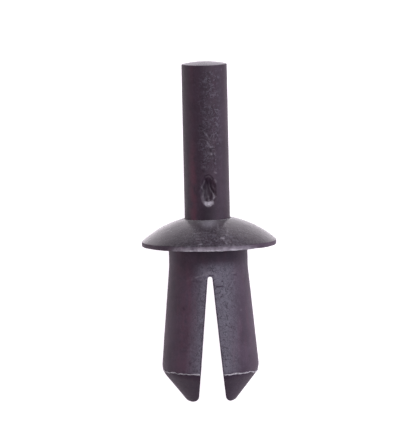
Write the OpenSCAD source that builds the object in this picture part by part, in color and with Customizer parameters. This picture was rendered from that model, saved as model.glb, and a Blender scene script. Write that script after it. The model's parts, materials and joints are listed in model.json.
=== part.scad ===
// Push-in drive rivet: a domed head on a split, sprung shank, with a separate drive pin standing in its bore.
// Modelled upright about its own axis, with the head's flat underside at zero height, then laid down on its
// head rim and its two legs, because it can't stand unheld.

/* [Head] */
// Diameter of the head across its rim
head_d = 10.9; // [9:0.1:12]
// Rise of the dome from the rim to where its crown would be without the bore
dome_h = 2.06; // [1.8:0.02:2.6]
// Height of the upright land round the rim
rim_t = 0.36; // [0.2:0.02:0.5]
// How far the head was moulded off the shank's axis, to the right
head_shift = 0.1; // [-0.2:0.02:0.2]

/* [Shank] */
// Diameter of the neck and of each leg
shank_d = 6.38; // [6:0.02:6.6]
// Straight neck under the head, down to where the legs begin to bend outwards
neck_len = 1.5; // [1.3:0.1:1.8]
// Radius of the fillet between the neck and the head
neck_fillet = 0.25; // [0.1:0.05:0.4]
// Radius of the bend between the neck and each leg
bend_r = 8; // [6:1:12]

/* [Legs] */
// Outward lean of each leg
splay = 5.2; // [4:0.1:6]
// Straight length of each leg, from its bend to the corner of its nose
leg_len = 8.22; // [7:0.02:9]
// Gap between the legs if they are squeezed parallel
slot_gap = 0.27; // [0.2:0.01:0.4]
// Depth of the slot's round top below the head
slot_top = 2.28; // [2.2:0.02:2.6]
// How far the slot was moulded off the shank's axis, to the right
slot_shift = 0.1; // [-0.14:0.02:0.14]
// Radius on the corner between each leg and its nose
shoulder_r = 1.4; // [0.4:0.1:1.8]
// Angle between the nose's slope and the leg's own axis
nose_angle = 43.5; // [40:0.5:50]
// Radius of each nib
nib_r = 0.55; // [0.3:0.05:0.6]

/* [Drive pin] */
// Diameter of the pin
pin_d = 3.68; // [3.4:0.02:3.8]
// Gap all round the pin in its bore
pin_clearance = 0.05; // [0.03:0.01:0.08]
// How far the pin stands out of the head, which is how far it is driven
pin_travel = 12.5; // [11:0.05:12.6]
// Rise of the pin's crowned end
pin_crown = 0.2; // [0.05:0.05:0.3]
// Full-width length of the pin that starts inside the bore
pin_held = 0.9; // [0.6:0.1:1]
// Length of the pin's taper
point_len = 1.3; // [1.1:0.1:1.5]
// Gap left under the pin's taper when the pin is driven home
point_gap = 0.15; // [0.1:0.05:0.3]
// Radius of the pin's flat tip
point_r = 0.9; // [0.7:0.1:1]

/* [Gate mark on the pin] */
// Height of the mark's deepest place above the head's underside
gate_z = 4.05; // [3.8:0.05:6]
// Turn of the mark about the pin, to the right
gate_turn = 4; // [-10:1:10]
// Depth of the mark
gate_depth = 0.35; // [0.2:0.05:0.45]
// Half the width of the mark at the pin's surface
gate_half_w = 0.68; // [0.5:0.02:0.8]
// Length of the mark above its deepest place
gate_up = 1.75; // [1.2:0.05:2.2]
// Length of the mark below its deepest place
gate_down = 0.85; // [0.7:0.05:1.1]

/* [Hidden] */
$fn = 96;
// Straight pieces in a rounded corner, and in the gate mark's longer curves.
corner_steps = 6;
mark_steps = 10;
// How far a cut runs past the surface that it cuts, as a length and as a share of an arc.
overcut = 1;
arc_overcut = 1.1;
// How far round a nib its rounding is cut from the slot's side, short of its tip.
nib_wrap = 80;
head_r = head_d / 2;
shank_r = shank_d / 2;
pin_r = pin_d / 2;
bore_r = pin_r + pin_clearance;
// Each nib is rounded the same on both sides, so its rounding's centre lies one radius outside the slot's face.
nib_offset = slot_gap / 2 + nib_r;

// A sphere through the rim and the crown.
dome_r = (head_r * head_r + dome_h * dome_h) / (2 * dome_h);
dome_centre_z = rim_t + dome_h - dome_r;
// Where the bore breaks out of the dome.
mouth_z = dome_centre_z + sqrt(dome_r * dome_r - bore_r * bore_r);

// The nose runs down from the leg's end at its angle until it meets the nib's rounding.
nib_drop = ((shank_r - nib_offset) * cos(nose_angle) - nib_r) / sin(nose_angle);
shoulder_rise = shoulder_r * tan(nose_angle / 2);
// Depth below the head at which each leg's axis crosses the rivet's axis.
pivot_z = -neck_len - bend_r * tan(splay / 2);
// Distance along the leg's axis from that crossing to the corner of the nose.
leg_reach = leg_len + bend_r * tan(splay / 2);
nib_z = pivot_z - (leg_reach + nib_drop) * cos(splay) + nib_offset * sin(splay) - nib_r;
// A depth below the head that clears everything.
reach_z = overcut - nib_z;

// The pin, and how deep it goes when its rim is driven level with the bore's mouth.
pin_top_z = mouth_z + pin_travel;
point_top_z = mouth_z - pin_held;
point_z = point_top_z - point_len;
bore_end_z = point_top_z - pin_travel - point_gap;
// The bore's taper runs deeper than the pin's, at the same slope.
bore_taper_len = point_len + 2 * point_gap;
bore_taper_r = bore_r - (pin_r - point_r) * bore_taper_len / point_len;
crown_r = (pin_r * pin_r + pin_crown * pin_crown) / (2 * pin_crown);

// The mark is cut by a slender spindle beside the pin and parallel to it.
gate_chord_y = sqrt(pin_r * pin_r - gate_half_w * gate_half_w);
gate_sag = gate_chord_y - (pin_r - gate_depth);
spindle_r = (gate_half_w * gate_half_w + gate_sag * gate_sag) / (2 * gate_sag);
spindle_y = pin_r - gate_depth + spindle_r;

// Lying down: the lean that brings the rim and both legs' shoulders onto one plane, pin end up.
lean_across = head_r - (shank_r - shoulder_r);
lean_along = (leg_reach - shoulder_rise) * cos(splay) - pivot_z;
lean = acos(shoulder_r / norm([lean_across, lean_along])) - atan2(lean_along, lean_across);
rest_z = head_r * cos(lean);
far_y = pin_top_z * cos(lean) + pin_r * sin(lean);
// The nibs are rounded, so they reach a little past their lowest point.
near_y = (nib_z + nib_r) * cos(lean) - nib_offset * sin(lean) - nib_r;
rest_y = -(far_y + near_y) / 2;

function arc(centre, r, from, to, steps) =
    [for (i = [0:steps]) centre + r * [cos(from + (to - from) * i / steps), sin(from + (to - from) * i / steps)]];

module lying() {
    translate([-head_shift, rest_y, rest_z])
        rotate([lean - 90, 0, 0])
            children();
}

// Half of the head's section: a dome standing on the rim's land.
module head_section() {
    intersection() {
        translate([0, dome_centre_z])
            circle(dome_r);
        square([head_r, rim_t + dome_h + overcut]);
    }
}

// Half of the neck's section, with the fillet under the head.
module neck_section() {
    fillet_centre = [shank_r + neck_fillet, -neck_fillet];
    polygon(concat(
        [[0, rim_t / 2], [0, -neck_len], [shank_r, -neck_len]],
        arc(fillet_centre, neck_fillet, 180, 90, corner_steps),
        [[shank_r + neck_fillet, rim_t / 2]]
    ));
}

module head_and_neck() {
    translate([head_shift, 0, 0])
        rotate_extrude()
            head_section();
    rotate_extrude()
        neck_section();
}

// A round bar that bends away from the rivet's axis.
module bend() {
    rotate([-90, 0, 180])
        rotate_extrude(angle = splay)
            translate([bend_r, 0])
                circle(shank_r);
}

// Half of a leg's section: a straight side, a rounded shoulder, the slope of the nose and a round nib.
module leg_section() {
    shoulder_centre = [shank_r - shoulder_r, shoulder_rise - leg_len];
    nib_centre = [nib_offset, -leg_len - nib_drop];
    polygon(concat(
        [[0, 0], [shank_r, 0]],
        arc(shoulder_centre, shoulder_r, 0, nose_angle - 90, corner_steps),
        arc(nib_centre, nib_r, nose_angle - 90, -90, corner_steps),
        [[0, -leg_len - nib_drop - nib_r]]
    ));
}

// The right-hand leg with its bend and its nose, cut off at the rivet's middle plane.
module right_leg() {
    intersection() {
        translate([bend_r, 0, -neck_len]) {
            bend();
            rotate([0, -splay, 0])
                translate([-bend_r, 0, 0])
                    rotate_extrude()
                        leg_section();
        }
        translate([0, -head_r, -reach_z])
            cube([head_r, head_d, reach_z]);
    }
}

// A point of a leg's own frame, which starts where its axis crosses the rivet's axis, in the rivet's side view.
function splayed(p) = [
    p[0] * cos(splay) - p[1] * sin(splay),
    pivot_z + p[0] * sin(splay) + p[1] * cos(splay)
];

// Right half of the slot in side view: its round top, its straight face and the inner rounding of the nib.
function slot_half() =
    let (
        apex_z = pivot_z + slot_gap / (2 * sin(splay)),
        top_r = (slot_top + apex_z) * sin(splay) / (1 - sin(splay)),
        nib = splayed([nib_offset, -leg_reach - nib_drop]),
        corner = arc(nib, nib_r, 180 + splay, 180 + nib_wrap + splay, corner_steps)
    )
    concat(
        arc([0, -slot_top - top_r], top_r, 90, splay, corner_steps),
        corner,
        [[corner[corner_steps][0], -reach_z]]
    );

// The slot runs right through from front to back.
module slot() {
    right = slot_half();
    left = [for (i = [len(right) - 1:-1:1]) [-right[i][0], right[i][1]]];
    translate([slot_shift, 0, 0])
        rotate([90, 0, 0])
            linear_extrude(height = 2 * head_r, center = true)
                polygon(concat(right, left));
}

// Straight, and ending in a taper that clears the pin's point when the pin is driven home.
module bore() {
    rotate_extrude()
        polygon([
            [0, bore_end_z - bore_taper_len],
            [bore_taper_r, bore_end_z - bore_taper_len],
            [bore_r, bore_end_z],
            [bore_r, mouth_z + overcut],
            [0, mouth_z + overcut]
        ]);
}

// One moulding: the head, the neck and two sprung legs with their nibs.
module rivet_body() {
    color([0.22, 0.19, 0.22])
        lying()
            difference() {
                union() {
                    head_and_neck();
                    right_leg();
                    mirror([1, 0, 0])
                        right_leg();
                }
                slot();
                bore();
            }
}

// Half of the pin's section: a tapered point, a straight side and a crowned end.
module pin_section() {
    intersection() {
        translate([0, pin_top_z + pin_crown - crown_r])
            circle(crown_r);
        polygon([
            [0, point_z],
            [point_r, point_z],
            [pin_r, point_top_z],
            [pin_r, pin_top_z + overcut],
            [0, pin_top_z + overcut]
        ]);
    }
}

// Half of the spindle that cuts the gate mark: long above its widest place and short below it.
module spindle_section() {
    upper_r = (gate_up * gate_up + gate_depth * gate_depth) / (2 * gate_depth);
    lower_r = (gate_down * gate_down + gate_depth * gate_depth) / (2 * gate_depth);
    // Both arcs run a little past the pin's surface.
    upper = arc([spindle_r - upper_r, 0], upper_r, 0, arc_overcut * asin(gate_up / upper_r), mark_steps);
    lower = arc([spindle_r - lower_r, 0], lower_r, -arc_overcut * asin(gate_down / lower_r), 0, mark_steps);
    polygon(concat(
        [[0, lower[0][1]]],
        lower,
        [for (i = [1:mark_steps]) upper[i]],
        [[0, upper[mark_steps][1]]]
    ));
}

// The teardrop hollow that the moulding's gate left in the side of the pin.
module gate_mark() {
    rotate([0, 0, gate_turn])
        translate([0, -spindle_y, gate_z])
            rotate_extrude()
                spindle_section();
}

module drive_pin() {
    color([0.2, 0.17, 0.19])
        lying()
            difference() {
                rotate_extrude()
                    pin_section();
                gate_mark();
            }
}

rivet_body();
drive_pin();
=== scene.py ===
import json
import math
from functools import partial

import bmesh
import bpy
import numpy as np
from mathutils import Matrix, Vector


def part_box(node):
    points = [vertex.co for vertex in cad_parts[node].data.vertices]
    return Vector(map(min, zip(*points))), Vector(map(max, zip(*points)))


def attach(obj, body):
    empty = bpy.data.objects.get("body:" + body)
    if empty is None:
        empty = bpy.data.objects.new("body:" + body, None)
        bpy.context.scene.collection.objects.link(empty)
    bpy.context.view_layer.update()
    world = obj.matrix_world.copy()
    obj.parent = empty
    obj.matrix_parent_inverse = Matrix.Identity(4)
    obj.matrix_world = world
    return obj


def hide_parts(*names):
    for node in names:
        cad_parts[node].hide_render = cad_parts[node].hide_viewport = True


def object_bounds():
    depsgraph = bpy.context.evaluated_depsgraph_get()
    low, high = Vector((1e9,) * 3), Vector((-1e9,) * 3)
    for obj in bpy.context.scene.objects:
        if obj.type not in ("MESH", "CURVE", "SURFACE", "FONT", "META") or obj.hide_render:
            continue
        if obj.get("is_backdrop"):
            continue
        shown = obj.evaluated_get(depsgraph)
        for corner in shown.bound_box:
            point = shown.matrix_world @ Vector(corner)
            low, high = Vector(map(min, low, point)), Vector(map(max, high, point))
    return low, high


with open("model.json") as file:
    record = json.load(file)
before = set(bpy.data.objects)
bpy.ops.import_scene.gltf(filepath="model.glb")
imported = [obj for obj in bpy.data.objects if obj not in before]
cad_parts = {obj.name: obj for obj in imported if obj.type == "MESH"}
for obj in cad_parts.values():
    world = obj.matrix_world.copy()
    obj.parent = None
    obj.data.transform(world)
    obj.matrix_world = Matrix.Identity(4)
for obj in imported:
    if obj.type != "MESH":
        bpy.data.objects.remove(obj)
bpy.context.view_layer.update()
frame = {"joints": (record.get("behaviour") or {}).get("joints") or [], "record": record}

bl_info = {
    "name": "Push rivet and drive pin",
    "version": (1, 0, 0),
    "blender": (4, 5, 0),
    "location": "3D View > Sidebar > Push Rivet",
    "description": "A moulded nylon push rivet with its drive pin, drawn around the packed frame",
    "category": "Mesh",
}

MM = 0.001
MOUNTS = {m["name"]: m for m in frame["record"]["mounts"]}
FACE = MOUNTS["head_underside"]
NECK = MOUNTS["neck"]
DRIVE = frame["joints"][0]
BODY_LOW, BODY_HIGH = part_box("rivet_body")

# The rivet's own frame has Z along its axis towards the pin's end, Z = 0 on the head's underside,
# X to the viewer's right and Y away from the viewer. The record gives its lean and where it rests.
LEAN_COS = -FACE["axis"][1]
LEAN_SIN = -FACE["axis"][2]
REST_X = NECK["pos_m"][0] / MM
REST_Y = FACE["pos_m"][1] / MM
REST_Z = FACE["pos_m"][2] / MM


# ---------------- settings


def length(name, description, default):
    """A length in metres."""
    return bpy.props.FloatProperty(
        name=name, description=description, default=default, unit="LENGTH")


def angle(name, description, degrees):
    """An angle, given in degrees and kept in radians."""
    return bpy.props.FloatProperty(
        name=name, description=description, default=math.radians(degrees),
        unit="ROTATION", subtype="ANGLE")


def colour(name, description, default):
    """A linear colour of three parts from 0 to 1."""
    return bpy.props.FloatVectorProperty(
        name=name, description=description, default=default, subtype="COLOR",
        size=3, min=0, max=1)


class RivetSizes(bpy.types.PropertyGroup):
    """Sizes of the moulded body"""
    head_diameter: length("Head diameter", "Across the head's rim", BODY_HIGH.x - BODY_LOW.x)
    dome_rise: length("Dome rise", "From the rim to where the dome's crown would be", 2.06 * MM)
    rim_land: length("Rim land", "Height of the upright band round the rim", 0.36 * MM)
    head_shift: length(
        "Head shift", "How far the head was moulded off the shank's axis, to the right", 0.1 * MM)
    shank_diameter: length(
        "Shank diameter", "Of the neck and of each leg", 2 * NECK["dims"]["r_mm"] * MM)
    neck_length: length("Neck length", "From the head down to where the legs bend", 1.5 * MM)
    neck_fillet: length("Neck fillet", "Radius between the neck and the head", 0.25 * MM)
    bend_radius: length("Bend radius", "Radius of the bend between the neck and each leg", 8 * MM)
    splay: angle("Splay", "Outward lean of each leg", 5.2)
    leg_length: length("Leg length", "From the bend to the corner of the nose", 8.22 * MM)
    slot_gap: length("Slot gap", "Gap between the legs if they were parallel", 0.27 * MM)
    slot_top: length("Slot top", "Depth of the slot's round top below the head", 2.28 * MM)
    slot_shift: length(
        "Slot shift", "How far the slot was moulded off the shank's axis, to the right", 0.1 * MM)
    shoulder_radius: length("Shoulder radius", "Rounding between each leg and its nose", 1.4 * MM)
    nose_angle: angle("Nose angle", "Between the nose's slope and the leg's axis", 43.5)
    nib_radius: length("Nib radius", "Rounding of each leg's tip", 0.55 * MM)
    edge_radius: length("Edge radius", "Rounding of the moulding's sharp edges", 0.055 * MM)
    flash_radius: length("Flash radius", "Half the thickness of the flash", 0.05 * MM)


class PinSizes(bpy.types.PropertyGroup):
    """Sizes of the drive pin, and of the gate mark on it"""
    pin_diameter: length("Pin diameter", "Of the drive pin", 3.68 * MM)
    clearance: length("Clearance", "Gap all round the pin in its bore", 0.05 * MM)
    travel: length("Travel", "How far the pin stands out of the head", DRIVE["range_m"][1])
    crown: length("Crown", "Rise of the pin's end", 0.2 * MM)
    crown_edge: length("Crown edge", "Rounding between the pin's end and its side", 0.07 * MM)
    held: length("Held length", "Full-width length that starts inside the bore", 0.9 * MM)
    point_length: length("Point length", "Length of the pin's taper", 1.3 * MM)
    point_radius: length("Point radius", "Radius of the pin's flat tip", 0.9 * MM)
    point_gap: length(
        "Point gap", "Left under the pin's taper when the pin is driven home", 0.15 * MM)
    gate_height: length(
        "Gate height", "Of the gate mark's deepest place above the head's underside", 4.5 * MM)
    gate_turn: angle("Gate turn", "Of the gate mark about the pin", 4)
    gate_depth: length("Gate depth", "Of the gate mark", 0.35 * MM)
    gate_half_width: length("Gate half width", "Of the gate mark at the pin's surface", 0.68 * MM)
    gate_up: length("Gate above", "Length of the mark above its deepest place", 1.4 * MM)
    gate_down: length("Gate below", "Length of the mark below its deepest place", 1.3 * MM)


class NylonFinish(bpy.types.PropertyGroup):
    """Colours and gloss of the nylon"""
    body_colour: colour("Body colour", "Moulded nylon of the head and legs", (0.071, 0.048, 0.074))
    pin_colour: colour("Pin colour", "Moulded nylon of the drive pin", (0.041, 0.023, 0.040))
    # The lit colour paints highlight and reflection where the lit attribute says, and colours the
    # lighter grains.
    lit_colour: colour(
        "Lit colour", "Where the grain makes the nylon look lighter", (0.150, 0.142, 0.178))
    # The same pale colour whitens the flash and scuffs, and also paints the reflection at the pin's
    # foot and the highlight on the gate mark's lip.
    whitening_and_highlight_colour: colour(
        "Flash colour", "Stretched, whitened nylon of the flash and scuffs", (0.55, 0.52, 0.58))
    gloss: bpy.props.FloatProperty(
        name="Roughness", description="Of the moulded skin", default=0.46, min=0, max=1)


class StudioSettings(bpy.types.PropertyGroup):
    """Where the camera stands and what it sees"""
    camera_distance: length("Camera distance", "From the rivet to the camera", 0.56)
    camera_rise: angle("Camera rise", "Towards the pin's end, above square on to the axis", 5.8)
    camera_roll: angle("Camera roll", "Turn of the camera about its own line of sight", 1.25)
    lens: bpy.props.FloatProperty(
        name="Lens", description="Focal length in millimetres", default=565.0)
    aim: bpy.props.FloatVectorProperty(
        name="Aim", description="Point at the middle of the view",
        default=(-0.256 * MM, 0.937 * MM, 5.32 * MM), size=3, unit="LENGTH")


# ---------------- shapes in the rivet's own frame


def lay(points):
    """Own frame in millimetres to the row frame in metres: leaned about X, then set down."""
    x, y, z = points[..., 0], points[..., 1], points[..., 2]
    across = REST_Y + y * LEAN_SIN + z * LEAN_COS
    up = REST_Z - y * LEAN_COS + z * LEAN_SIN
    return MM * np.stack((REST_X + x, across, up), -1)


def ease(before, corner, after, count):
    """A rounded corner: the quadratic curve from before to after, drawn towards the corner."""
    t = np.linspace(0, 1, count)[:, None]
    return (1 - t) ** 2 * before + 2 * t * (1 - t) * corner + t ** 2 * after


def straight(start, end, count):
    """Evenly spaced points of a line, without its two ends."""
    return np.linspace(start, end, count + 2)[1:-1]


def circle(radius, along):
    """Half the chord of a circle at a distance from its middle, and 0 beyond it."""
    return np.sqrt(np.clip(radius ** 2 - along ** 2, 0, None))


def sheet(points, flipped=False):
    """A grid of points with its quads' corner numbers, wound the other way round if flipped."""
    rows, columns = points.shape[:2]
    r, c = np.meshgrid(np.arange(rows - 1), np.arange(columns - 1), indexing="ij")
    a = (r * columns + c).ravel()
    quads = np.stack((a, a + columns, a + columns + 1, a + 1), -1)
    return points, quads[:, ::-1] if flipped else quads


def ripple(points, wavelength, seed, waves=28):
    """Smooth seeded noise from -1 to 1: a sum of plane waves in random directions.

    Each wave is near the one wavelength, and the sum is divided by what it would usually reach.
    """
    draw = np.random.default_rng(seed)
    direction = draw.normal(size=(waves, 3))
    direction /= np.linalg.norm(direction, axis=1)[:, None]
    pace = 2 * np.pi / (wavelength * draw.uniform(0.7, 1.5, waves))
    phase = draw.uniform(0, 2 * np.pi, waves)
    total = np.zeros(points.shape[:-1])
    for d, p, f in zip(direction, pace, phase):
        total += np.sin((points @ d) * p + f)
    return total / math.sqrt(waves / 2) / 2


def bump(distance, reach):
    """One at zero distance, falling smoothly to nothing at reach: (1 - (d/reach)^2) squared."""
    return np.clip(1 - (distance / reach) ** 2, 0, None) ** 2


def ramp(value, start, end):
    """0 at start and before, rising evenly to 1 at end and past it; end may be the lower one."""
    return np.clip((value - start) / (end - start), 0, 1)


def strokes(points, marks):
    """The sum of a table's marks: each is its strength times a bump of the distance to its path."""
    total = np.zeros(len(points))
    for strength, reach, path in marks:
        away = []
        for start, end in zip(np.array(path[:-1]), np.array(path[1:])):
            step = end - start
            share = np.clip((points - start) @ step / (step @ step), 0, 1)
            away.append(np.linalg.norm(points - start - share[:, None] * step, axis=1))
        total += strength * bump(np.min(away, axis=0), reach)
    return total


def rows_of(things, key):
    """A vector that each vertex or face has, as the rows of an array."""
    values = np.empty(len(things) * 3)
    things.foreach_get(key, values)
    return values.reshape(-1, 3)


def make_piece(name, sheets, paints, body, merge=0.0015, sharp=40,
               shape=None, shades=None, region=None):
    """A mesh object from grids in the rivet's own frame, laid down and riding on a body.

    Points closer than merge millimetres become one, which closes the seams and the poles, and
    faces that meet at more than sharp degrees keep a sharp edge. shape gives how far each point
    moves along its normal, shades the attributes that the materials read, and region each face's
    material by number.
    """
    flat = [p.reshape(-1, 3) for p, _ in sheets]
    starts = np.cumsum([0] + [len(p) for p in flat])
    points = np.concatenate(flat)
    quads = np.concatenate([q + s for (_, q), s in zip(sheets, starts)])
    mesh = bpy.data.meshes.new(name)
    mesh.from_pydata(points.tolist(), [], quads.tolist())
    work = bmesh.new()
    work.from_mesh(mesh)
    bmesh.ops.remove_doubles(work, verts=work.verts, dist=merge)
    bmesh.ops.dissolve_degenerate(work, dist=merge / 3, edges=work.edges)
    bmesh.ops.recalc_face_normals(work, faces=work.faces)
    work.normal_update()
    work.to_mesh(mesh)
    work.free()
    mesh.update()
    place = rows_of(mesh.vertices, "co")
    if shape:
        place = place + rows_of(mesh.vertices, "normal") * shape(place)[:, None]
    mesh.vertices.foreach_set("co", place.ravel())
    mesh.update()
    own = mesh.attributes.new("own_mm", "FLOAT_VECTOR", "POINT")
    own.data.foreach_set("vector", place.ravel())
    for key, value in (shades(place) if shades else {}).items():
        layer = mesh.attributes.new(key, "FLOAT", "POINT")
        layer.data.foreach_set("value", np.clip(value, 0, 1))
    for paint in paints:
        mesh.materials.append(paint.material)
    if region:
        numbers = region(rows_of(mesh.polygons, "center")).astype(np.int32)
        mesh.polygons.foreach_set("material_index", numbers)
    mesh.vertices.foreach_set("co", lay(place).ravel())
    mesh.update()
    mesh.shade_smooth()
    mesh.set_sharp_from_angle(angle=math.radians(sharp))
    piece = bpy.data.objects.new(name, mesh)
    bpy.context.scene.collection.objects.link(piece)
    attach(piece, body)
    return piece


class Shape:
    """Lengths in millimetres from the settings, and the curves that several pieces share."""

    # The noses' parting line: how far above the nose's corner it meets the slot, and how much
    # deeper it is on the leg's outer side, for the left leg and the right one.
    parting_lead = 0.14
    parting_sag = (0.13, 0.30)

    def __init__(self, scene):
        # Each size keeps its setting's name, and the lengths become millimetres.
        for group in (scene.rivet_sizes, scene.pin_sizes):
            for key, setting in group.bl_rna.properties.items():
                if setting.type == "FLOAT":
                    unit = MM if setting.unit == "LENGTH" else 1
                    setattr(self, key, getattr(group, key) / unit)
        self.head_r = self.head_diameter / 2
        self.shank_r = self.shank_diameter / 2
        self.pin_r = self.pin_diameter / 2
        self.gap = self.slot_gap / 2
        self.bore_r = self.pin_r + self.clearance
        self.dome_r = (self.head_r ** 2 + self.dome_rise ** 2) / (2 * self.dome_rise)
        self.dome_z = self.rim_land + self.dome_rise - self.dome_r
        self.mouth_z = self.dome_height(self.bore_r)
        bend_reach = self.bend_radius * math.tan(self.splay / 2)
        self.pivot_z = -self.neck_length - bend_reach
        self.leg_reach = self.leg_length + bend_reach
        # The cone that leaves the leg at its nose angle just touches the nib's round.
        self.nib_q = self.gap + self.nib_radius
        turn = self.nose_angle
        drop = ((self.shank_r - self.nib_q) * math.cos(turn) - self.nib_radius) / math.sin(turn)
        self.nib_d = self.leg_reach + drop
        self.shoulder_d = self.leg_reach - self.shoulder_radius * math.tan(turn / 2)
        # The slot's round top just touches the two faces, which would meet at the apex.
        lean = math.sin(self.splay)
        apex_z = self.pivot_z + self.gap / lean
        self.arch_r = (self.slot_top + apex_z) * lean / (1 - lean)
        self.arch_z = -self.slot_top - self.arch_r
        # The pin and the bore's end.
        self.pin_top = self.mouth_z + self.travel
        self.taper_top = self.mouth_z - self.held
        self.point_z = self.taper_top - self.point_length
        self.bore_end = self.taper_top - self.travel - self.point_gap
        self.bore_taper = (self.pin_r - self.point_radius) / self.point_length

    def dome_height(self, radius):
        """Height of the dome's sphere at a distance from the axis."""
        return self.dome_z + np.sqrt(self.dome_r ** 2 - np.square(radius))

    def leg_radius(self, depth):
        """Radius of a leg about its own axis at a depth.

        It is straight, then a shoulder's arc, the nose's cone, and the nib's arc.
        """
        turn = self.nose_angle
        across, along = self.shoulder_radius * math.sin(turn), self.shoulder_radius * math.cos(turn)
        inner = self.shank_r - self.shoulder_radius
        cone_d = self.shoulder_d + across
        nib_start = self.nib_d + self.nib_radius * math.sin(turn)
        shoulder = inner + circle(self.shoulder_radius, depth - self.shoulder_d)
        cone = inner + along - (depth - cone_d) * math.tan(turn)
        nib = self.nib_q + circle(self.nib_radius, depth - self.nib_d)
        return np.select([depth <= self.shoulder_d, depth <= cone_d, depth <= nib_start],
                         [self.shank_r, shoulder, cone], nib)

    def splayed(self, q, depth):
        """Side-view x and z of a point of the right leg: q across the leg, depth down its axis."""
        c, s = math.cos(self.splay), math.sin(self.splay)
        return q * c + depth * s, self.pivot_z + q * s - depth * c

    def unsplayed(self, x, z):
        """The inverse of splayed."""
        c, s = math.cos(self.splay), math.sin(self.splay)
        return x * c + (z - self.pivot_z) * s, x * s - (z - self.pivot_z) * c

    def parting(self, share, side):
        """Depth of a nose's parting line, which sags with the square of share.

        share is the distance from the slot's middle over the leg's radius, and side is over 0 on
        the right leg.
        """
        left, right = self.parting_sag
        return self.leg_reach - self.parting_lead + np.where(side > 0, right, left) * share ** 2

    def bore_radius(self, z):
        """Radius of the bore at a height: straight, then a taper below its end."""
        return self.bore_r - self.bore_taper * np.clip(self.bore_end - z, 0, None)


def slot_edge(s, shift, arch_steps=9, face_steps=76, cone_steps=26, nib_steps=16):
    """One side of the slot in the leg's frame, from the crest of its round top to the nib's tip.

    The side is drawn as the right one, with the slot's middle at shift: the round top's arc, the
    straight face, the shoulder's arc and the cone in finer steps, then the nib's arc. Returns the
    points (q, depth), the directions into the nylon, and each point's edge rounding, which thins
    to nothing at the tip.
    """
    turn = np.linspace(math.pi / 2, s.splay, arch_steps)
    q, d = s.unsplayed(shift + s.arch_r * np.cos(turn), s.arch_z + s.arch_r * np.sin(turn))
    mq, md = np.cos(turn - s.splay), -np.sin(turn - s.splay)
    face_q = q[-1]
    cone_d = s.shoulder_d + s.shoulder_radius * math.sin(s.nose_angle)
    line_d = np.concatenate((
        np.linspace(d[-1], s.shoulder_d - 0.02, face_steps)[1:],
        s.shoulder_d + s.shoulder_radius * np.sin(np.linspace(0, s.nose_angle, 9)),
        np.linspace(cone_d, s.nib_d, cone_steps)[1:]))
    round_a = np.linspace(0, math.pi / 2, nib_steps)[1:]
    inner_r = s.nib_q - face_q
    q = np.concatenate((q, np.full(len(line_d), face_q), s.nib_q - inner_r * np.cos(round_a)))
    d = np.concatenate((d, line_d, s.nib_d + s.nib_radius * np.sin(round_a)))
    mq = np.concatenate((mq, np.ones(len(line_d)), np.cos(round_a)))
    md = np.concatenate((md, np.zeros(len(line_d)), -np.sin(round_a)))
    across = circle(s.leg_radius(d), q)
    edge = s.edge_radius * np.clip(across / 0.9, 0, 1) ** 1.5
    edge[-1] = 0
    return q, d, mq, md, edge


def head_profile(s):
    """Radius and height from the bore's mouth over the dome and rim, under the head, down the neck.

    The dome is a sphere's arc, the edges are quadratic curves and the fillet is a quarter circle.
    """
    e = s.edge_radius
    dome_x = np.linspace(s.bore_r + 2 * e, s.head_r - 1.4 * e, 62)
    dome = np.column_stack((dome_x, s.dome_height(dome_x)))
    lip = ease((s.bore_r, s.mouth_z - 1.6 * e), (s.bore_r, s.mouth_z), dome[0], 6)
    top = ease(dome[-1], (s.head_r, s.rim_land), (s.head_r, s.rim_land - e), 6)
    land = straight(top[-1], (s.head_r, 0.9 * e), 3)
    low = ease((s.head_r, 0.9 * e), (s.head_r, 0), (s.head_r - e, 0), 6)
    turn = np.linspace(0, math.pi / 2, 7)
    fillet = np.column_stack((1 - np.sin(turn), np.cos(turn) - 1)) * s.neck_fillet
    fillet = fillet + (s.shank_r, 0)
    under = straight(low[-1], fillet[0], 15)
    neck = straight(fillet[-1], (s.shank_r, -s.neck_length), 12)
    return np.concatenate((lip, dome[1:-1], top, land, low, under, fillet, neck))


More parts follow.
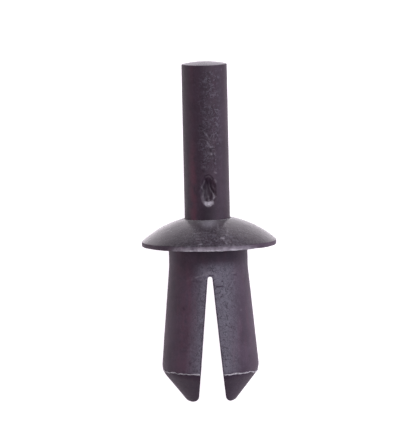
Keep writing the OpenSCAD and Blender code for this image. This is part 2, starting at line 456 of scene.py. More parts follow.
def quarter_sheets(s, side, around=52, fillet_steps=4, face_steps=7):
    """One front quarter of the moulding as three grids, drawn as the right one.

    side is 1 for the right quarter and -1 for the left.
    Outer skin: each row is a circle of the head and neck, of the bend, or square across the leg,
    from straight right (angle 0) round to the front, where it ends on the slot's middle plane or
    on its edge.
    Inner skin: each row runs from the slot's edge over its rounding, straight in along the slot's
    face and round the bore's groove to straight right.
    Bore: circles of the bore from the mouth down to the slot's crest.
    All three have the same number of columns where they meet.
    """
    middle, offset = side * s.slot_shift, side * s.head_shift
    head = head_profile(s)
    bend = np.linspace(0, s.splay, 8)[:-1]
    q, d, mq, md, edge = slot_edge(s, middle)
    eq, ed = q + mq * edge, d + md * edge
    tops, rows = len(head), len(head) + len(bend)

    # Each row's circle: centre, slope, radius, and how far across it ends.
    rim = np.argmax(head[:, 0])
    # The head's shift fades out to the bore's mouth above, and to the neck below.
    over = ramp(head[:, 0], s.bore_r, s.bore_r + 0.4)
    under = ramp(head[:, 0], s.shank_r + 0.3, s.shank_r + 1.8)
    on_head = np.where(np.arange(tops) <= rim, over, under)
    centre_x = np.concatenate((
        offset * on_head, s.bend_radius * (1 - np.cos(bend)), ed * math.sin(s.splay)))
    centre_z = np.concatenate((head[:, 1], -s.neck_length - s.bend_radius * np.sin(bend),
                               s.pivot_z - ed * math.cos(s.splay)))
    tilt = np.concatenate((np.zeros(tops), bend, np.full(len(ed), s.splay)))
    radius = np.concatenate((head[:, 0], np.full(len(bend), s.shank_r), s.leg_radius(ed)))
    stop = np.concatenate(((middle - centre_x[:rows]) / np.cos(tilt[:rows]), eq))
    widest = np.arccos(np.clip(stop / radius, -1, 1))
    angle = widest[:, None] * np.linspace(0, 1, around)
    across = radius[:, None] * np.cos(angle)
    outer = np.stack((centre_x[:, None] + across * np.cos(tilt)[:, None],
                      -radius[:, None] * np.sin(angle),
                      centre_z[:, None] + across * np.sin(tilt)[:, None]), -1)
    # The dome's sphere is about the head's axis, while the mouth's circle is about the bore's.
    dome = outer[:rim]
    from_bore = head[:len(dome), 0][:, None]
    from_dome = np.hypot(dome[..., 0] - offset, dome[..., 1])
    lift = s.dome_height(from_dome) - s.dome_height(from_bore)
    dome[..., 2] += lift * ramp(from_bore, s.bore_r, s.bore_r + 0.1)

    # Inner skin below the crest.
    t = np.linspace(0, math.pi / 2, fillet_steps + 1)
    fq = q[:, None] + (mq * edge)[:, None] * (1 - np.sin(t))
    fd = d[:, None] + (md * edge)[:, None] * (1 - np.sin(t))
    fy = circle(s.leg_radius(fd), fq) - edge[:, None] * (1 - np.cos(t))
    fx, fz = s.splayed(fq, fd)
    face_x, face_z = s.splayed(q, d)
    reach = s.bore_radius(face_z)
    groove = np.arccos(np.clip(face_x / reach, -1, 1))
    share = np.linspace(0, 1, face_steps + 1)[1:]
    near = fy[:, -1:]
    far = (reach * np.sin(groove))[:, None]
    face_y = near + (far - near) * share
    round_a = groove[:, None] * np.linspace(1, 0, around)[1:]
    wall = np.where(groove > 0, reach, face_x)[:, None]
    along_face = np.repeat(face_x[:, None], face_steps, 1)
    inner_x = np.concatenate((fx, along_face, wall * np.cos(round_a)), 1)
    inner_y = np.concatenate((fy, face_y, wall * np.sin(round_a)), 1)
    inner_z = np.concatenate((fz, np.repeat(face_z[:, None], face_steps + around - 1, 1)), 1)
    inner = np.stack((inner_x, -np.clip(inner_y, 0, None), inner_z), -1)

    # Bore above the crest.
    bore_z = np.linspace(head[0, 1], s.splayed(q[0], d[0])[1], 30)
    bore_a = math.acos(middle / s.bore_r) * np.linspace(1, 0, around)
    bore = np.stack(np.broadcast_arrays(
        s.bore_r * np.cos(bore_a), -s.bore_r * np.sin(bore_a), bore_z[:, None]), -1)
    return (outer, inner, bore), rows + 1, fillet_steps + 1 + face_steps


def body_sheets(s):
    """The four quarters: two in front, joined on the slot's middle plane, mirrored to the back."""
    aside, behind = np.array([-1, 1, 1]), np.array([1, -1, 1])
    right, rows, columns = quarter_sheets(s, 1)
    left = [points * aside for points in quarter_sheets(s, -1)[0]]
    for ours, theirs in ((right[0][:rows, -1], left[0][:rows, -1]),
                         (right[1][0, :columns], left[1][0, :columns])):
        ours[:] = theirs[:] = (ours + theirs) / 2
    sheets = [sheet(points) for points in right] + [sheet(points, True) for points in left]
    return sheets + [(points * behind, quads[:, ::-1]) for points, quads in sheets]


# ---------------- materials


class Paint:
    """Short ways to add and join the nodes of one material."""

    def __init__(self, name):
        self.material = bpy.data.materials.new(name)
        self.material.use_nodes = True
        self.tree = self.material.node_tree
        self.shader = self.tree.nodes["Principled BSDF"]

    def feed(self, socket, value):
        """Links a node's output, or sets a plain value."""
        if isinstance(value, bpy.types.NodeSocket):
            self.tree.links.new(value, socket)
        else:
            socket.default_value = value

    def made(self, kind, output, values, **settings):
        """The output of a new node whose named sockets are fed."""
        node = self.tree.nodes.new(kind)
        for key, value in settings.items():
            setattr(node, key, value)
        for key, value in values.items():
            self.feed(node.inputs[key], value)
        return node.outputs[output]

    def look(self, **values):
        """Feeds the shader's sockets, whose names are given with _ for each space."""
        for key, value in values.items():
            self.feed(self.shader.inputs[key.replace("_", " ")], value)

    def attribute(self, name, output="Fac"):
        """What each vertex keeps under a name."""
        return self.made("ShaderNodeAttribute", output, {}, attribute_name=name)

    def own(self, stretch=1.0):
        """The rivet's own millimetres, with lengths along its axis times stretch."""
        return self.made("ShaderNodeMapping", "Vector", {
            "Vector": self.attribute("own_mm", "Vector"), "Scale": (1, 1, stretch)})

    def noise(self, vector, scale, detail=3, rough=0.55, distortion=0.0):
        """Cloudy noise around 0.5, which is finer as its scale grows."""
        return self.made("ShaderNodeTexNoise", "Fac", {
            "Vector": vector, "Scale": scale, "Detail": detail, "Roughness": rough,
            "Distortion": distortion})

    def remap(self, value, low, high, to_low=0.0, to_high=1.0):
        """A value's way from low to high, smoothed at both ends, as one from to_low to to_high."""
        return self.made("ShaderNodeMapRange", "Result", {
            "Value": value, "From Min": low, "From Max": high, "To Min": to_low,
            "To Max": to_high}, interpolation_type="SMOOTHSTEP")

    def sum(self, a, b, operation="ADD"):
        """Two values added, or joined by another operation."""
        return self.made("ShaderNodeMath", "Value", {0: a, 1: b}, operation=operation)

    def product(self, a, b):
        """Two values multiplied."""
        return self.sum(a, b, "MULTIPLY")

    def mix(self, share, a, b):
        """Colour a where share is 0 and colour b where it is 1."""
        return self.made("ShaderNodeMix", 2, {0: share, 6: a, 7: b}, data_type="RGBA")

    def relief(self, height, distance, strength=1.0, **under):
        """Bump from a height, which may go on top of another bump given as Normal."""
        return self.made("ShaderNodeBump", "Normal", {
            "Strength": strength, "Distance": distance, "Height": height, **under})


def solid(colour, gain=1.0):
    """A colour times a gain, or times one for each of its parts, with its alpha."""
    return (*np.multiply(colour, gain), 1.0)


def nylon(name, finish, colour, rougher, stretch, shine):
    """Moulded nylon: a slightly cloudy colour with a spark-eroded grain.

    The attributes granular, lit, warm, dark and pale say where on the piece the grain is strong
    and where the colour is lighter, redder, darker or whitened, and smooth where it is polished.
    lit is painted highlight and reflection, dark paints shade as well as dark marks, and pale
    whitens the nylon and in places also paints a highlight and a reflection.
    rougher adds to the finish's roughness, a stretch under 1 draws the reddish streaks out along
    the axis, and shine is the specular level.
    """
    p = Paint(name)
    own = p.own()
    cloud = p.noise(own, 0.55, 3)
    patch = p.noise(own, 1.3, 2)
    grain = p.noise(own, 4.6, 4, 0.6, 0.6)
    fine = p.noise(own, 13.0, 3, 0.6)
    streak = p.noise(p.own(stretch), 2.2, 3)
    winding = p.noise(own, 2.0, 2, 0.5, 1.6)

    def contour(level, width=0.035):
        """Thin winding lines: 1 where the winding noise passes a level, 0 from a width beside."""
        return p.remap(p.sum(p.sum(winding, -level), 0, "ABSOLUTE"), 0.0, width, 1.0, 0.0)

    granular = p.attribute("granular")
    tint = p.mix(p.remap(cloud, 0.35, 0.65), solid(colour, 0.88), solid(colour, 1.14))
    reddish = solid(colour, (2.38, 1.4, 1.4))
    warm = p.product(p.attribute("warm"), p.remap(patch, 0.3, 0.6))
    tint = p.mix(p.sum(p.remap(streak, 0.45, 0.8, 0, 0.22), warm), tint, reddish)
    tint = p.mix(p.product(p.remap(grain, 0.5, 0.75), 0.16), tint, solid(colour, 1.9))
    # Painted highlight: the lit attribute mixes in the lit colour, a little patchy.
    painted_highlight = p.product(p.attribute("lit"), p.remap(patch, 0.25, 0.7, 0.7, 1.0))
    tint = p.mix(painted_highlight, tint, solid(finish.lit_colour))
    # Grains and winding lines, each as a pattern, its strength and its colour.
    for pattern, strength, shade in (
            (p.remap(grain, 0.48, 0.68), 0.40, solid(finish.lit_colour, 1.25)),
            (contour(0.43), 0.40, solid(finish.lit_colour, 1.3)),
            (p.remap(grain, 0.46, 0.30), 0.55, solid(colour, 0.45)),
            (contour(0.5), 0.75, solid(colour, 0.35))):
        tint = p.mix(p.product(p.product(granular, pattern), strength), tint, shade)
    # The pale attribute whitens the nylon, and at the pin's foot and the gate mark's lip it also
    # paints a reflection and a highlight.
    white = p.product(p.attribute("pale"), p.remap(grain, 0.25, 0.7, 0.4, 1.0))
    tint = p.mix(white, tint, solid(finish.whitening_and_highlight_colour))
    # The dark attribute darkens marks, and elsewhere paints shade.
    darkened = solid(colour, (0.3, 0.16, 0.34))
    rough = p.sum(p.remap(grain, 0.3, 0.75, -0.05, 0.08), finish.gloss + rougher)
    rough = p.sum(rough, p.product(granular, 0.10))
    rough = p.sum(rough, p.product(p.attribute("smooth"), 0.3), "SUBTRACT")
    base = p.relief(fine, 0.006 * MM, 0.8)
    p.look(Base_Color=p.mix(p.attribute("dark"), tint, darkened), Roughness=rough,
           Specular_IOR_Level=shine, IOR=1.5,
           Normal=p.relief(p.product(granular, grain), 0.05 * MM, Normal=base))
    return p


def flash_nylon(name, pale):
    """Thin flash: nylon stretched until it whitens, broken by darker places."""
    p = Paint(name)
    own = p.own()
    cloud = p.remap(p.noise(own, 4.0, 4, 0.65), 0.3, 0.7)
    p.look(Base_Color=p.mix(cloud, solid(pale, 0.42), solid(pale, 1.1)), Roughness=0.55,
           Normal=p.relief(p.noise(own, 16, 3), 0.03 * MM, 0.9))
    return p


def floor_paper(name):
    """White paper on a light table: matt, with a faint tooth, and brighter round the rivet."""
    p = Paint(name)
    place = p.made("ShaderNodeTexCoord", "Object", {})
    tooth = p.remap(p.noise(place, 900, 3), 0.3, 0.7)
    white = (1, 1, 1)
    # The glow dims from 19 to 50 mm away from the origin.
    away = p.made("ShaderNodeVectorMath", "Value", {0: place}, operation="LENGTH")
    glow = p.mix(p.remap(away, 0.019, 0.05), (1, 0.93, 1, 1), (0.52, 0.49, 0.52, 1))
    p.look(Base_Color=p.mix(tooth, solid(white, 0.295), solid(white, 0.305)), Roughness=0.9,
           Specular_IOR_Level=0.2, Emission_Color=glow, Emission_Strength=1.08)
    return p


# ---------------- marks

# Each mark is its strength, and its reach and its path in millimetres.

# Streaks of the gate mark: round the pin and up, from the mark's deepest place.
GATE_STREAKS = (
    (0.32, 0.12, ((-0.03, 0.5), (-0.13, -0.05), (0, -0.5))),
    (0.55, 0.14, ((0.01, -0.45), (0.02, -0.7))), (0.13, 0.1, ((0.2, 0.5), (0.22, -0.1))),
    (0.28, 0.09, ((-0.3, 0.84), (-0.47, 0.53), (-0.54, 0.3))),
    (0.3, 0.1, ((-0.52, 0.28), (-0.36, 0.07), (-0.38, -0.1))),
    (0.3, 0.14, ((-0.46, -0.4), (-0.38, -0.62))),
    (0.18, 0.1, ((-0.15, 1.18), (0.03, 1.25), (0.22, 1.16), (0.33, 1))),
    (0.18, 0.14, ((0.52, 0.9), (0.62, 0.75))),
    (0.42, 0.12, ((0.46, -0.22), (0.52, -0.42), (0.48, -0.62))),
    (0.3, 0.14, ((0.42, -0.78), (0.34, -1))))
# Scratches on the pin: round it from the front, and up from the head's underside.
PIN_LIGHT = (
    (0.16, 0.09, ((-0.25, 9.45), (0.05, 9.15), (0.28, 8.7))),
    (0.14, 0.08, ((-0.4, 8.7), (-0.15, 8.68))), (0.2, 0.1, ((0.1, 8.55), (0.3, 8.2), (0.42, 8.05))),
    (0.12, 0.1, ((0.62, 8.62), (0.8, 8.6))), (0.32, 0.12, ((0.42, 7.62), (0.44, 7.52))),
    (0.2, 0.1, ((0.72, 7.6), (0.74, 7.55))), (0.22, 0.12, ((-0.22, 6.5), (-0.1, 6.47))),
    (0.16, 0.12, ((0.68, 6.05), (0.8, 5.98))), (0.1, 0.12, ((1.55, 14.35), (1.57, 14.28))),
    (0.035, 0.6, ((0.2, 9), (0.35, 8.2), (0.4, 7.4))))
PIN_DARK = (
    (0.7, 0.12, ((0.35, 7.95), (0.42, 7.72))), (0.7, 0.12, ((0.6, 7.48), (0.64, 7.28))),
    (0.6, 0.12, ((0.66, 7), (0.7, 6.92))), (0.6, 0.12, ((-0.28, 6.2), (-0.2, 6.12))),
    (0.6, 0.1, ((0.95, 8.2), (1.15, 8.2))), (0.5, 0.12, ((0.3, 9.1), (0.4, 9))),
    (0.5, 0.12, ((-0.3, 9.8), (-0.2, 9.7))), (0.5, 0.12, ((0.1, 9.6), (0.18, 9.55))))
# Marks on the legs, seen from the front: the whitened bend over the slot, and small dents.
LEG_LIGHT = (
    (0.05, 0.12, ((-1.8, -2.62), (-1.35, -2.48))),
    (0.17, 0.1, ((-1.05, -2.34), (-0.65, -2.2), (-0.25, -2.11), (0.05, -2.05))),
    (0.16, 0.12, ((-0.25, -1.96), (0.1, -1.93), (0.45, -2), (0.62, -2.24))),
    (0.1, 0.1, ((-0.62, -2.52), (-0.42, -2.46))), (0.14, 0.1, ((-0.35, -4.45), (-0.33, -4.6))),
    (0.1, 0.1, ((1.95, -2.05), (2.1, -2.08))), (0.12, 0.1, ((2.55, -5.1), (2.56, -5.14))),
    (0.16, 0.09, ((1.95, -9.3), (1.97, -9.42))))
LEG_DARK = (
    (0.6, 0.09, ((0.05, -2.22), (0.35, -2.2))), (0.9, 0.12, ((0.62, -3.1), (1.12, -3.09))),
    (0.9, 0.11, ((1.08, -2.68), (1.1, -2.66))), (0.4, 0.13, ((-1.25, -2.62), (-0.62, -2.66))),
    (0.5, 0.11, ((2.05, -2.22), (2.25, -2.2))), (0.5, 0.12, ((-2.1, -4.8), (-2.05, -4.95))),
    (0.5, 0.12, ((-1.7, -9.2), (-1.65, -9.4))), (0.5, 0.11, ((1.3, -4.6), (1.42, -4.72))))
# Handling marks on the dome, seen from the pin's end.
DOME_LIGHT = (
    (0.16, 0.09, ((0.84, -2.75), (0.84, -3.75))), (0.38, 0.15, ((1.12, -4.5), (1.16, -4.55))),
    (0.2, 0.12, ((1.62, -1.7), (1.42, -2.3), (1.34, -3))), (0.15, 0.1, ((1.6, -3.3), (1.58, -4.1))),
    (0.16, 0.11, ((1.22, -4.55), (1.55, -5), (1.8, -5.25))),
    (0.14, 0.11, ((1.62, -4.65), (1.95, -4.95), (2.1, -5.2))),
    (0.12, 0.12, ((-1.2, -3.9), (-0.6, -3.95))), (0.12, 0.12, ((-0.88, -4.25), (-0.62, -4.35))),
    (0.1, 0.12, ((-0.9, -4.6), (-0.6, -4.65))), (0.3, 0.14, ((-0.63, -5.1), (-0.6, -5.12))))
DOME_DARK = (
    (0.6, 0.14, ((0.98, -3.7), (0.9, -4.1), (1.02, -4.45))),
    (0.6, 0.14, ((0.45, -4.45), (0.72, -4.5))), (0.6, 0.13, ((1.05, -4.7), (1.3, -5.1))),
    (0.6, 0.13, ((1.48, -4.75), (1.78, -5), (1.95, -5.25))),
    (0.5, 0.16, ((1.35, -1.75), (1.3, -2.6), (1.5, -3.4))))


# ---------------- how each skin varies


def body_skin(s, points):
    """The moulding's shrinkage in millimetres: slow swells all over, and a ragged rim."""
    swell = 0.006 * ripple(points, 1.6, 11) + 0.0035 * ripple(points, 0.45, 12)
    at_rim = np.hypot(points[:, 0], points[:, 1]) > s.head_r - 0.25
    ragged = bump(points[:, 2] - 0.5 * s.rim_land, 0.3) * at_rim
    return swell + 0.022 * ragged * ripple(points, 0.9, 13)


def body_shades(s, points):
    """The moulding's attributes, each a product of ramps and bumps over the place.

    facing is how much a point faces the viewer, turn its way round the head from the front, q its
    distance from the slot and d its depth down the leg.
    """
    x, y, z = points.T
    from_head = np.hypot(x - s.head_shift, y)
    turn = np.arctan2(x - s.head_shift, -y)
    q, d = s.unsplayed(np.abs(x - s.slot_shift), z)
    q = np.clip(q - s.gap, 0, None)
    right = x > s.slot_shift
    facing = np.clip(-y / s.shank_r, 0, 1)
    shank = (from_head < s.shank_r + 0.1) | (z < -0.3)
    dome = (z > s.rim_land * 0.98) & (from_head > s.bore_r) & (from_head < s.head_r)

    # The noses, past their parting line: painted shade, and more grain on the right one.
    past = d - s.parting(np.clip((q + s.gap) / s.shank_r, 0, 1), x - s.slot_shift)
    nose = shank * ramp(past, 0, 0.06) * (facing > 0)
    # A grained band along the slot, which narrows down the right leg, lighter with a painted
    # highlight.
    on_leg = shank * ramp(z, -1.05, -1.55) * (d < s.shoulder_d + 0.9)
    width = 1.92 - 0.11 * (d - 4.7)
    near = np.where(right, ramp(q, width, width - 1.2), 0.85 * ramp(q, 1.35, 0.25))
    band = near * facing * on_leg * (1 - nose)
    # The dark line on the slot's edge, a painted shade.
    edge = bump(q, 0.12) * facing ** 2 * shank * (z < s.arch_z) * (d < s.nib_d)
    # On the dome: grain low in front, a soft patch at the pin's foot that is a painted reflection,
    # and painted shade on the flanks and top.
    low_front = bump(turn - 0.1, 1.1) * dome * ramp(from_head, 3.2, 4.4)
    foot = 0.9 * dome * bump(np.hypot(x - 0.1, (y + 2.1) * 0.62), 1.05) * (y < 0)
    flank = 0.4 * bump(np.abs(turn - 0.1) - 0.85, 0.6) + 0.25 * bump(from_head - 1.9, 1.4)
    # The rim's whitened front, paler towards its lower edge.
    rim = (from_head > s.head_r - 0.12) * ramp(z, -0.02, 0.03)
    rim = rim * ramp(z, s.rim_land + 0.1, s.rim_land - 0.28)
    at_front = ramp(np.abs(turn - 0.08), 0.76, 0.42) * (0.8 + 0.4 * ripple(points, 0.7, 25))

    plan, face, on_front = points[:, :2], points[:, ::2], shank * (facing > 0.3)
    dark = np.maximum((0.52 + 0.2 * right * bump(q, 0.9)) * nose, 0.8 * edge)
    dark += (strokes(plan, DOME_DARK) + flank) * dome + strokes(face, LEG_DARK) * on_front
    pale = 0.88 * rim * at_front + strokes(face, LEG_LIGHT) * on_front
    pale += (1.6 * strokes(plan, DOME_LIGHT) + 0.3 * foot) * dome
    return {
        "granular": np.maximum(0.9 * band, 0.8 * low_front) + 0.12 + 0.2 * nose * right,
        "lit": np.maximum(np.where(right, 0.95, 0.9) * band, foot),
        "warm": 0.22 * bump(x + 2.2, 1.6) * facing * shank,
        "dark": dark,
        "pale": pale,
        "smooth": 0 * z}


def on_dome(s, centres):
    """1 for the faces of the polished dome, and 0 for all others."""
    from_axis = np.hypot(centres[:, 0], centres[:, 1])
    return (centres[:, 2] > s.rim_land) & (from_axis > s.bore_r)


def pin_skin(s, points):
    """The pin's shrinkage in millimetres: slow swells, on the part that shows."""
    swell = 0.004 * ripple(points, 1.4, 41) + 0.0025 * ripple(points, 0.4, 42)
    return swell * (points[:, 2] > s.mouth_z + 0.1)


def pin_shades(s, points):
    """The pin's attributes, each a product of ramps and bumps over the place.

    across is the way round the pin from the front, and u and v lead round it and up from the gate
    mark's deepest place.
    """
    x, y, z = points.T
    radius, front = np.hypot(x, y), y < 0
    across = s.pin_r * np.arctan2(x, -y)
    flat = np.stack((across, z), -1)
    top = (z > s.pin_top - 0.01) & (radius < s.pin_r - 0.03)
    # A grained band up the front, right of the middle, whose lighter grains are a painted
    # highlight.
    ends = ramp(z, 6.1, 6.9) * ramp(z, s.pin_top - 0.2, s.pin_top - 1.0)
    band = bump(across - 0.38 - 0.1 * ripple(points, 2.5, 52), 1.15) * front * ends
    # The gate mark: a white lip at the bottom, whitened torn nylon with a painted highlight on it,
    # torn streaks above it, pale edges round it, and painted shade in its deep part.
    near = (z < s.pin_top - 1) * (z > s.mouth_z) * front
    hollow = ramp(radius, s.pin_r - 0.015, s.pin_r - 0.075) * near
    u = across - s.pin_r * s.gate_turn + 0.04 * ripple(points, 0.5, 53)
    v = z - s.gate_height
    lip = ramp(v - 0.3 * np.abs(u), -0.80, -1.02) * ramp(np.abs(u), 0.48, 0.18)
    threads = np.clip(np.sin(26 * u + 4 * ripple(points, 1.1, 54)), 0, 1) * bump(v + 0.1, 0.8)
    deep = ramp(radius, s.pin_r - 0.12, s.pin_r - 0.24) * near * (v > -0.8)
    # The head's shadow on the pin's foot.
    foot = bump(across - 0.05, 0.95) * ramp(z, 3.5, 3.1) * front * (radius > s.pin_r - 0.1)

    dark = 0.55 * deep + 0.7 * foot
    # Dark scratches, and painted shade down the middle of the pin's front.
    dark += (strokes(flat, PIN_DARK) + 0.33 * bump(across + 0.1, 1.0)) * front
    pale = hollow * (1.6 * lip + 0.1 * threads) + near * strokes(np.stack((u, v), -1), GATE_STREAKS)
    pale += strokes(flat, PIN_LIGHT) * front + 0.07 * top
    # Painted highlight towards both sides of the pin's front and on its top.
    sides = 0.09 * bump(np.abs(across + 0.05) - 1.35, 0.55) * front
    return {
        "granular": 1.7 * band * (0.7 + 0.6 * ripple(points, 1.2, 51)) + 0.12,
        "lit": np.maximum(sides, 0.7 * top),
        "warm": bump(across + 1.25, 0.6) * front * np.maximum(ramp(z, 9.5, 6.5), 0.2),
        "dark": dark,
        "pale": pale,
        "smooth": 0.9 * top}


# ---------------- pin and flash


def pin_profile(s):
    """Radius and height of the pin from the middle of its crown down its side and point.

    The crown is a sphere's arc and the edges are quadratic curves. The side has its finest steps
    where the gate mark is.
    """
    e = s.crown_edge
    crown_r = (s.pin_r ** 2 + s.crown ** 2) / (2 * s.crown)
    crown_x = np.linspace(0, s.pin_r - e, 26)
    crown_z = s.pin_top + s.crown - crown_r + np.sqrt(crown_r ** 2 - crown_x ** 2)
    crown = np.column_stack((crown_x, crown_z))
    edge = ease(crown[-1], (s.pin_r, s.pin_top), (s.pin_r, s.pin_top - e), 7)[1:]
    gate_top, gate_low = s.gate_height + s.gate_up + 0.2, s.gate_height - s.gate_down - 0.15
    side = np.concatenate([
        np.linspace((s.pin_r, start), (s.pin_r, end), steps)[1:] for start, end, steps in (
            (s.pin_top - e, gate_top, 92), (gate_top, gate_low, 104), (gate_low, s.taper_top, 16))])
    before, after = (s.point_radius + 0.05, s.point_z + 0.08), (s.point_radius - 0.08, s.point_z)
    taper = straight(side[-1], before, 10)
    tip = ease(before, (s.point_radius, s.point_z), after, 5)
    foot = np.linspace(after, (0, s.point_z), 9)[1:]
    return np.concatenate((crown, edge, side, taper, tip, foot))


def gate_cut(s, angle, z):
    """Radius that the gate mark leaves, or more than the pin's where it leaves the pin whole.

    It is where a ray from the pin's axis meets a slender spindle that lies beside the pin.
    """
    chord = math.sqrt(s.pin_r ** 2 - s.gate_half_width ** 2)
    sag = chord - (s.pin_r - s.gate_depth)
    thick = (s.gate_half_width ** 2 + sag ** 2) / (2 * sag)
    beside = s.pin_r - s.gate_depth + thick
    length = np.where(z > s.gate_height, s.gate_up, s.gate_down)
    bow = (length ** 2 + s.gate_depth ** 2) / (2 * s.gate_depth)
    spindle = thick - bow + circle(bow, z - s.gate_height)
    under = spindle ** 2 - (beside * np.sin(angle)) ** 2
    hit = beside * np.cos(angle) - np.sqrt(np.clip(under, 0, None))
    return np.where((under > 0) & (spindle > 0) & (np.cos(angle) > 0), hit, 2 * s.pin_r)


def pin_surface(s, around=145):
    """The pin as one grid: its profile turned round the axis, less the gate mark, plus ridges.

    The steps round it are closer together in front. Inside the mark, the radius gains a sine of
    the angle, which makes the tear's ridges.
    """
    profile = pin_profile(s)
    turn = np.linspace(0, 1, around)
    angle = 2 * math.pi * turn - 0.78 * np.sin(2 * math.pi * turn)
    radius = np.broadcast_to(profile[:, :1], (len(profile), len(angle))).copy()
    z = np.broadcast_to(profile[:, 1:], radius.shape)
    side = (profile[:, 0] > s.pin_r - 1e-6)[:, None]
    depth = np.clip(radius - gate_cut(s, angle[None, :], z), 0, None) * side
    turned = np.arctan2(np.sin(angle), np.cos(angle))
    where = np.stack((s.pin_r * turned + 0 * z, 0 * z, z), -1)
    ridges = 0.035 * np.sin(21 * turned + 3 * ripple(where, 1.2, 31)) * bump(depth - 0.2, 0.2)
    radius += ridges * side - depth
    facing = angle - math.pi / 2 + s.gate_turn
    return np.stack((radius * np.cos(facing), radius * np.sin(facing), z), -1)


def bead(path, outward, along, radius, sides=8):
    """A thin tube: at each point of the path a circle in the plane of outward and along."""
    turn = np.linspace(0, 2 * math.pi, sides + 1)[:, None]
    ring = np.cos(turn) * outward[:, None] + np.sin(turn) * along[:, None]
    return path[:, None] + radius[:, None, None] * ring


def nose_bead(s, side, seed, around=260):
    """Flash round a nose from slot edge to slot edge, along the parting line and a little off it.

    side is 1 for the right nose and -1 for the left. The bead's thickness wavers, tapers to a
    point at both ends, and is greater by the slot on the right nose's front.
    """
    limit = math.acos((s.gap + side * s.slot_shift + 0.04) / s.shank_r)
    turn = np.linspace(-limit, limit, around)
    where = np.stack((turn * s.shank_r, 0 * turn, 0 * turn + side * 7), -1)
    waver = 0.06 * ripple(where, 1.7, seed) + 0.03 * ripple(where, 0.5, seed + 10)
    depth = s.parting(np.cos(turn), side) + waver
    radius = s.leg_radius(depth)
    x, z = s.splayed(radius * np.cos(turn), depth)
    path = np.stack((x, radius * np.sin(turn), z), -1)
    c, sn = math.cos(s.splay), math.sin(s.splay)
    lift = np.stack((np.cos(turn) * c, np.sin(turn), np.cos(turn) * sn), -1)
    down = np.array([sn, 0, -c])
    thick = s.flash_radius * (0.92 + 0.44 * ripple(where, 0.7, seed + 20))
    thick *= 1 + 0.35 * (side > 0) * bump(turn + limit, 0.5)
    thick *= ramp(np.abs(turn), limit, limit - 0.03)
    half = math.sqrt(2)
    return bead(path, (lift + down) / half, (down - lift) / half, thick) * np.array([side, 1, 1])


def rim_bead(s, around=700):
    """Flash under the rim, all the way round: a wavering thread, thickest in front."""
    turn = np.linspace(0, 2 * math.pi, around)
    ring = np.stack((np.cos(turn), np.sin(turn), 0 * turn), -1)
    where = ring * s.head_r
    strength = 0.35 + 0.65 * bump(np.arctan2(ring[:, 0], -ring[:, 1]) - 0.12, 0.9)
    strength *= 0.75 + 0.5 * ripple(where, 0.8, 71)
    thick = s.flash_radius * np.clip(strength, 0.12, 1)
    path = ring * (s.head_r - 0.03)
    path[:, 0] += s.head_shift
    path[:, 2] += 0.05 + 0.02 * ripple(where, 0.6, 72)
    path[-1], thick[-1] = path[0], thick[0]
    return bead(path, ring, np.broadcast_to([0.0, 0, -1], ring.shape), thick)


# ---------------- operators


class RIVET_OT_body(bpy.types.Operator):
    """Head, neck and two sprung legs as one moulding"""
    bl_idname = "rivet.body"
    bl_label = "Moulded Body"

    def execute(self, context):
        s, f = Shape(context.scene), context.scene.nylon_finish
        textured = nylon("textured_nylon", f, f.body_colour, 0.14, 0.15, 0.28)
        # The dome is polished smoother, and its colour, darker than the rest of the body's, is
        # painted shade.
        darker = np.multiply(f.body_colour, 0.46)
        polished = nylon("polished_nylon", f, darker, -0.25, 0.15, 0.32)
        polished.look(Sheen_Weight=0.52, Sheen_Roughness=0.38)
        piece = make_piece(
            "moulded_body", body_sheets(s), [textured, polished], "rivet_body",
            shape=partial(body_skin, s), shades=partial(body_shades, s), region=partial(on_dome, s))
        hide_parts("rivet_body")
        return {"FINISHED"}


class RIVET_OT_pin(bpy.types.Operator):
    """Drive pin with its crowned end, gate mark and point"""
    bl_idname = "rivet.pin"
    bl_label = "Drive Pin"

    def execute(self, context):
        s, f = Shape(context.scene), context.scene.nylon_finish
        moulded = nylon("driven_nylon", f, f.pin_colour, 0.1, 0.06, 0.4)
        piece = make_piece(
            "driven_pin", [sheet(pin_surface(s))], [moulded], "drive_pin",
            merge=0.0008, shape=partial(pin_skin, s), shades=partial(pin_shades, s))
        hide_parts("drive_pin")
        return {"FINISHED"}


class RIVET_OT_flash(bpy.types.Operator):
    """Thin irregular flash where the mould's halves met: round each nose and under the rim"""
    bl_idname = "rivet.flash"
    bl_label = "Mould Flash"

    def execute(self, context):
        s = Shape(context.scene)
        material = flash_nylon("flash_nylon", context.scene.nylon_finish.whitening_and_highlight_colour)
        for name, points in (("nose_flash_right", nose_bead(s, 1, 61)),
                             ("nose_flash_left", nose_bead(s, -1, 62)),
                             ("rim_flash", rim_bead(s))):
            make_piece(name, [sheet(points)], [material], "rivet_body",
                       merge=0.0005, sharp=80)
        return {"FINISHED"}


# Softboxes: place in metres, width, height, power in watts and colour.
SOFTBOXES = {
    "key_box": ((0.20, 0.15, 0.38), 0.18, 0.18, 1.3, (1, 0.95, 1)),
    "back_box": ((0, 0.42, 0.10), 0.5, 0.12, 0.12, (0.97, 0.95, 1)),
    "right_box": ((0.28, 0, 0.26), 0.12, 0.24, 0.35, (0.84, 0.89, 1)),
    "left_box": ((-0.28, 0, 0.26), 0.12, 0.24, 0.15, (1, 0.84, 0.86)),
    "front_box": ((0, -0.12, 0.42), 0.2, 0.2, 0.3, (1, 0.94, 1)),
}
FLOOR_HALF = 0.6
FLOOR_DROP = 0.00002


def set_up(scene, name, data, place=(0, 0, 0), turn=(1, 0, 0, 0)):
    """An object of the stage at a place, turned by a quaternion."""
    made = bpy.data.objects.new(name, data)
    made.location = place
    made.rotation_mode = "QUATERNION"
    made.rotation_quaternion = turn
    scene.collection.objects.link(made)
    return made


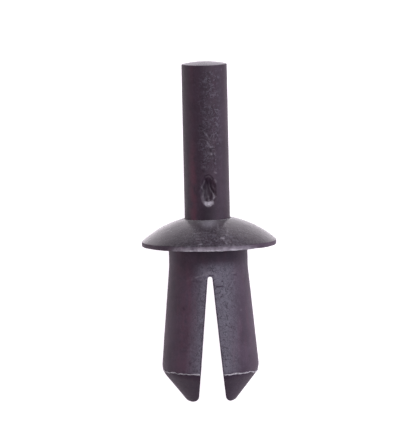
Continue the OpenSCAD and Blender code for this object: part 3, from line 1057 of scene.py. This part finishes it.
class RIVET_OT_stage(bpy.types.Operator):
    """White paper floor, soft lights and the camera"""
    bl_idname = "rivet.stage"
    bl_label = "Stage"

    def execute(self, context):
        scene = context.scene
        st = scene.studio_settings
        # The floor is a hair under the lowest point.
        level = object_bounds()[0].z - FLOOR_DROP
        mesh = bpy.data.meshes.new("paper_floor")
        mesh.from_pydata([(x * FLOOR_HALF, y * FLOOR_HALF, level)
                          for x, y in ((-1, -1), (1, -1), (1, 1), (-1, 1))], [], [(0, 1, 2, 3)])
        mesh.materials.append(floor_paper("white_paper").material)
        set_up(scene, "paper_floor", mesh)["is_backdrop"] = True

        # The camera looks square on to the axis, less its rise towards the pin's end.
        aim = Vector(st.aim)
        slope = math.atan2(LEAN_SIN, LEAN_COS) - st.camera_rise
        back = Vector((0, -math.sin(slope), math.cos(slope)))
        up = Vector((0, math.cos(slope), math.sin(slope)))
        right = Vector((1, 0, 0)) * math.cos(st.camera_roll) - up * math.sin(st.camera_roll)
        data = bpy.data.cameras.new("studio_camera")
        data.lens = st.lens
        data.sensor_width = 36
        data.clip_start, data.clip_end = 0.01, 5
        axes = Matrix((right, back.cross(right), back)).transposed()
        scene.camera = set_up(scene, "studio_camera", data, aim + back * st.camera_distance,
                              axes.to_quaternion())

        for name, (place, width, height, power, tone) in SOFTBOXES.items():
            light = bpy.data.lights.new(name, "AREA")
            light.shape = "RECTANGLE"
            light.size, light.size_y = width, height
            light.energy, light.color = power, tone
            set_up(scene, name, light, place, (aim - Vector(place)).to_track_quat("-Z", "Y"))
        world = bpy.data.worlds.new("studio_air")
        world.use_nodes = True
        air = world.node_tree.nodes["Background"]
        air.inputs["Color"].default_value = (0.95, 0.96, 1.0, 1)
        air.inputs["Strength"].default_value = 0.05
        scene.world = world
        scene.view_settings.view_transform = "Standard"
        return {"FINISHED"}


class RIVET_PT_panel(bpy.types.Panel):
    """Settings and build steps of the push rivet"""
    bl_idname = "RIVET_PT_panel"
    bl_label = "Push Rivet"
    bl_space_type = "VIEW_3D"
    bl_region_type = "UI"
    bl_category = "Push Rivet"

    def draw(self, context):
        for group in GROUPS:
            box = self.layout.box()
            settings = getattr(context.scene, group)
            for key in settings.bl_rna.properties.keys():
                if key not in ("rna_type", "name"):
                    box.prop(settings, key)
        for step in STEPS:
            self.layout.operator(step.bl_idname)


GROUPS = {
    "rivet_sizes": RivetSizes,
    "pin_sizes": PinSizes,
    "nylon_finish": NylonFinish,
    "studio_settings": StudioSettings,
}
STEPS = (RIVET_OT_body, RIVET_OT_pin, RIVET_OT_flash, RIVET_OT_stage)
CLASSES = (*GROUPS.values(), *STEPS, RIVET_PT_panel)


def register():
    """Adds the classes, and to every scene its groups of settings."""
    for cls in CLASSES:
        bpy.utils.register_class(cls)
    for name, group in GROUPS.items():
        setattr(bpy.types.Scene, name, bpy.props.PointerProperty(type=group))


def unregister():
    """Takes away what register adds."""
    for name in GROUPS:
        delattr(bpy.types.Scene, name)
    for cls in reversed(CLASSES):
        bpy.utils.unregister_class(cls)


def main():
    """Registers the classes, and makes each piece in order."""
    register()
    bpy.ops.rivet.body()
    bpy.ops.rivet.pin()
    bpy.ops.rivet.flash()
    bpy.ops.rivet.stage()


if __name__ == "__main__":
    main()
